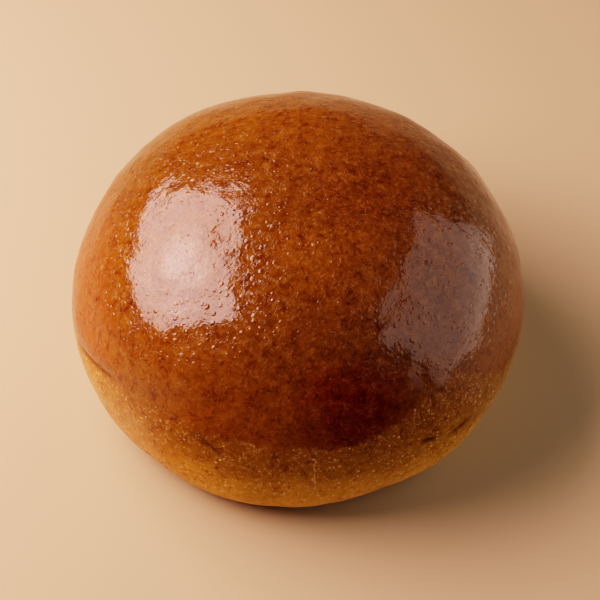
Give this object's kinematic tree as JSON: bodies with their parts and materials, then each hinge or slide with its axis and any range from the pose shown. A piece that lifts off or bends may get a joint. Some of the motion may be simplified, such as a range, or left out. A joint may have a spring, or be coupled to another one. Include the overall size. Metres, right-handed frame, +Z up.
{
  "type": "brioche bun",
  "caption": "Plump domed bun with a glossy egg-glazed cap, paler puckered sides and a flat base to stand on.",
  "frame": {"origin": "middle of the flat base", "axes": "+Z up through the crown, -Y the side that faces the picture's viewer"},
  "size_m": [0.1052, 0.103, 0.062],
  "materials": {
    "glazed_crust": "baked crust under a glossy egg glaze, red-brown on the cap and golden on the side"
  },
  "bodies": {
    "root": {"bun": "glazed_crust"}
  },
  "joints": []
}
